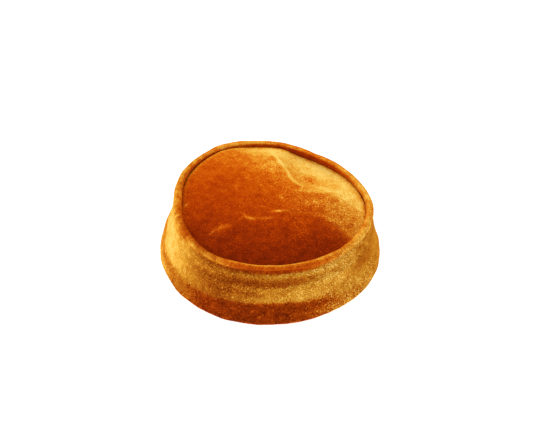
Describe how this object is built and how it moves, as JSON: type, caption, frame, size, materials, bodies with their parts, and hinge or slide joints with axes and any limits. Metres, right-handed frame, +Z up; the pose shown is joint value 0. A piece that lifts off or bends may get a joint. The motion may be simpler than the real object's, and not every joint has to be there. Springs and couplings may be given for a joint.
{
  "type": "chieftaincy cap",
  "caption": "Low round velvet cap with a soft sunken crown inside a flared, turned-up cuff with a rolled rim; worn on the head.",
  "frame": {"origin": "middle of the head opening, on the surface that the cap rests on", "axes": "+Z up through the crown, -Y towards the front of the cap, +X towards its right in a front view"},
  "size_m": [0.2028, 0.2106, 0.0548],
  "materials": {
    "velvet": "crushed amber velvet with a golden sheen",
    "backing": "flat woven back of the velvet"
  },
  "bodies": {
    "root": {"crown": "velvet", "side_band": "backing", "cuff": "velvet"}
  },
  "joints": []
}
